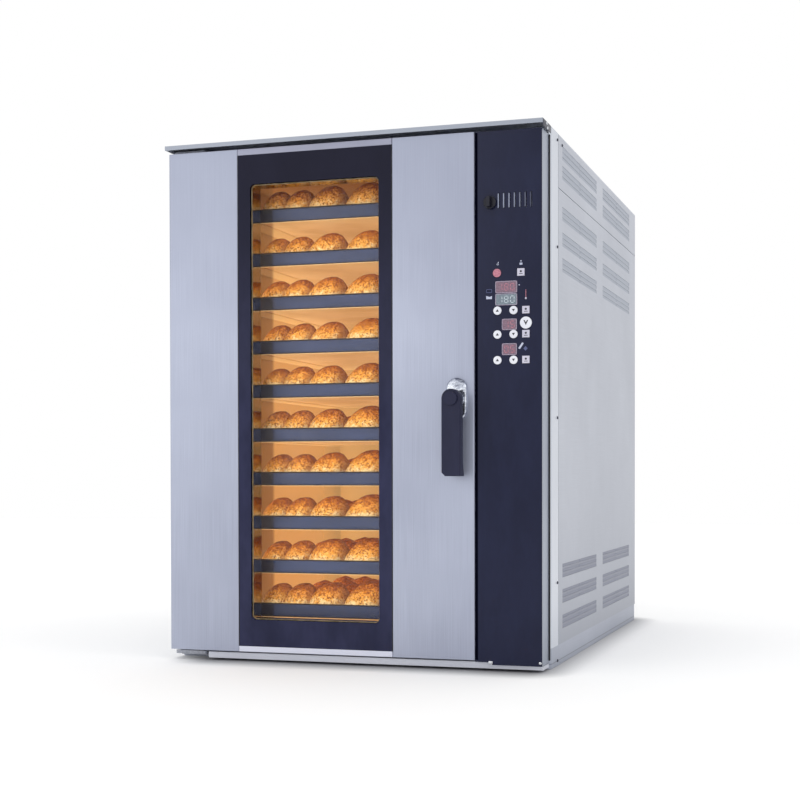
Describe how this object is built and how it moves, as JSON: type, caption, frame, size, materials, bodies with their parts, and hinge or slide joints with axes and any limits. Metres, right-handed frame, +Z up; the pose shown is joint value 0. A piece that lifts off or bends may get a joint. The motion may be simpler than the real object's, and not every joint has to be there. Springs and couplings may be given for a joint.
{
  "type": "bakery convection oven",
  "caption": "Free-standing rack oven for baking trays: hinged door with tall window and lever handle, tray racks, rear fans, key panel and vented side panels.",
  "frame": {"origin": "middle of the footprint, on the floor", "axes": "+Z up, the door faces -Y, +X to the oven's right as seen from the front"},
  "size_m": [0.9, 1.32, 1.2],
  "materials": {
    "door_steel": "fine vertical brushing, satin",
    "trim_steel": "satin sheet",
    "panel_steel": "satin sheet",
    "plain_steel": "galvanised sheet",
    "chamber_steel": "heat-tinted stainless sheet",
    "tray_coating": "dark non-stick coating",
    "mineral_wool": "fibrous blanket",
    "lamp_glass": "frosted lens",
    "motor_paint": "semi-gloss paint",
    "heater_metal": "oxidised tube",
    "fan_steel": "plain sheet",
    "display_plastic": "tinted window",
    "board_resin": "solder mask",
    "fascia_plastic": "dark smooth film",
    "dark_glass": "tinted, with a dark printed border",
    "clear_glass": "clear",
    "gasket_rubber": "silicone",
    "bright_chrome": "polished",
    "handle_plastic": "fine grain",
    "knob_plastic": "smooth",
    "key_white": "satin cap",
    "key_red": "lit red cap"
  },
  "bodies": {
    "oven": {"base_frame": "plain_steel", "sill_gutter": "trim_steel", "corner_post_left": "panel_steel", "corner_post_right": "panel_steel", "side_strip_right": "panel_steel", "side_panel_right": "panel_steel", "side_panel_left": "panel_steel", "rear_panel": "plain_steel", "roof_panel": "trim_steel", "face_frame": "chamber_steel", "cavity_liner": "chamber_steel", "wool_jacket": "mineral_wool", "cavity_lamps": "lamp_glass", "fan_baffle": "chamber_steel", "fan_motors": "motor_paint", "heating_elements": "heater_metal", "rack_left": "chamber_steel", "rack_right": "chamber_steel", "tray_01": "tray_coating", "tray_02": "tray_coating", "tray_03": "tray_coating", "tray_04": "tray_coating", "tray_05": "tray_coating", "tray_06": "tray_coating", "tray_07": "tray_coating", "tray_08": "tray_coating", "tray_09": "tray_coating", "tray_10": "tray_coating", "hinge_lower": "plain_steel", "hinge_upper": "plain_steel", "latch_keeper": "plain_steel", "control_housing": "panel_steel", "control_fascia": "fascia_plastic", "display_windows": "display_plastic", "control_board": "board_resin"},
    "door": {"door_left_stile": "door_steel", "door_right_stile": "door_steel", "door_outer_glass": "dark_glass", "glass_retainers": "trim_steel", "door_inner_glass": "clear_glass", "door_inner_frame": "chamber_steel", "door_gasket": "gasket_rubber", "handle_rosette": "bright_chrome"},
    "handle": {"handle_lever": "handle_plastic", "latch_shaft": "bright_chrome"},
    "fan_lower": {"fan_wheel_lower": "fan_steel"},
    "fan_upper": {"fan_wheel_upper": "fan_steel"},
    "knob": {"damper_knob": "knob_plastic"},
    "key_temperature_down_body": {"key_temperature_down": "key_white"},
    "key_temperature_up_body": {"key_temperature_up": "key_white"},
    "key_time_down_body": {"key_time_down": "key_white"},
    "key_time_up_body": {"key_time_up": "key_white"},
    "key_steam_down_body": {"key_steam_down": "key_white"},
    "key_steam_up_body": {"key_steam_up": "key_white"},
    "key_power_body": {"key_power": "key_red"},
    "key_light_body": {"key_light": "key_white"},
    "key_set_body": {"key_set": "key_white"},
    "key_clock_body": {"key_clock": "key_white"},
    "key_steam_body": {"key_steam": "key_white"},
    "key_start_body": {"key_start": "key_white"}
  },
  "joints": [
    {"name": "door_hinge", "type": "hinge", "parent": "oven", "child": "door", "pos_m": [-0.4335, -0.552, 0.6], "axis": [0, 0, -1], "range_deg": [0, 110]},
    {"name": "handle_turn", "type": "hinge", "parent": "door", "child": "handle", "pos_m": [0.255, -0.6, 0.598], "axis": [0, 1, 0], "range_deg": [0, 90]},
    {"name": "fan_lower_spin", "type": "hinge", "parent": "oven", "child": "fan_lower", "pos_m": [-0.08325, 0.23, 0.35], "axis": [0, 1, 0], "continuous": true},
    {"name": "fan_upper_spin", "type": "hinge", "parent": "oven", "child": "fan_upper", "pos_m": [-0.08325, 0.23, 0.864], "axis": [0, 1, 0], "continuous": true},
    {"name": "damper_knob_turn", "type": "hinge", "parent": "oven", "child": "knob", "pos_m": [0.3305, -0.6, 1.026], "axis": [0, 1, 0], "range_deg": [0, 90]},
    {"name": "key_temperature_down_press", "type": "slide", "parent": "oven", "child": "key_temperature_down_body", "axis": [0, 1, 0], "range_m": [0, 0.0015], "stiffness_N_per_m": 500},
    {"name": "key_temperature_up_press", "type": "slide", "parent": "oven", "child": "key_temperature_up_body", "axis": [0, 1, 0], "range_m": [0, 0.0015], "stiffness_N_per_m": 500},
    {"name": "key_time_down_press", "type": "slide", "parent": "oven", "child": "key_time_down_body", "axis": [0, 1, 0], "range_m": [0, 0.0015], "stiffness_N_per_m": 500},
    {"name": "key_time_up_press", "type": "slide", "parent": "oven", "child": "key_time_up_body", "axis": [0, 1, 0], "range_m": [0, 0.0015], "stiffness_N_per_m": 500},
    {"name": "key_steam_down_press", "type": "slide", "parent": "oven", "child": "key_steam_down_body", "axis": [0, 1, 0], "range_m": [0, 0.0015], "stiffness_N_per_m": 500},
    {"name": "key_steam_up_press", "type": "slide", "parent": "oven", "child": "key_steam_up_body", "axis": [0, 1, 0], "range_m": [0, 0.0015], "stiffness_N_per_m": 500},
    {"name": "key_power_press", "type": "slide", "parent": "oven", "child": "key_power_body", "axis": [0, 1, 0], "range_m": [0, 0.0015], "stiffness_N_per_m": 500},
    {"name": "key_light_press", "type": "slide", "parent": "oven", "child": "key_light_body", "axis": [0, 1, 0], "range_m": [0, 0.0015], "stiffness_N_per_m": 500},
    {"name": "key_set_press", "type": "slide", "parent": "oven", "child": "key_set_body", "axis": [0, 1, 0], "range_m": [0, 0.0015], "stiffness_N_per_m": 500},
    {"name": "key_clock_press", "type": "slide", "parent": "oven", "child": "key_clock_body", "axis": [0, 1, 0], "range_m": [0, 0.0015], "stiffness_N_per_m": 500},
    {"name": "key_steam_press", "type": "slide", "parent": "oven", "child": "key_steam_body", "axis": [0, 1, 0], "range_m": [0, 0.0015], "stiffness_N_per_m": 500},
    {"name": "key_start_press", "type": "slide", "parent": "oven", "child": "key_start_body", "axis": [0, 1, 0], "range_m": [0, 0.0015], "stiffness_N_per_m": 500}
  ]
}
